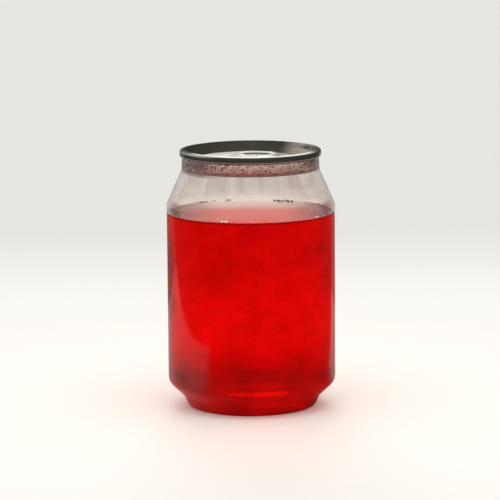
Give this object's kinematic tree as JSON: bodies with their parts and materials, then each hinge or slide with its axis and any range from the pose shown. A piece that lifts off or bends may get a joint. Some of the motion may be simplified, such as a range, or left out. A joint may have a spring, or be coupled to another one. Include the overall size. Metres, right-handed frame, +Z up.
{
  "type": "plastic beverage can",
  "caption": "Short clear plastic drink can with a bevelled foot and sloping shoulder, filled with red drink and shut by an aluminium easy-open end with a pull tab.",
  "frame": {"origin": "centre of the foot ring, on the floor", "axes": "+Z up along the can's axis; the tab's finger end points to +Y, turned 17 degrees towards +X"},
  "size_m": [0.065, 0.065, 0.1004],
  "materials": {
    "clear_pet": "clear, blow-moulded PET",
    "red_drink": "clear red drink",
    "end_aluminium": "lacquered rolled sheet",
    "tab_aluminium": "bright rolled sheet"
  },
  "bodies": {
    "root": {"pet_body": "clear_pet", "drink": "red_drink", "can_end": "end_aluminium", "pull_tab": "tab_aluminium"}
  },
  "joints": []
}
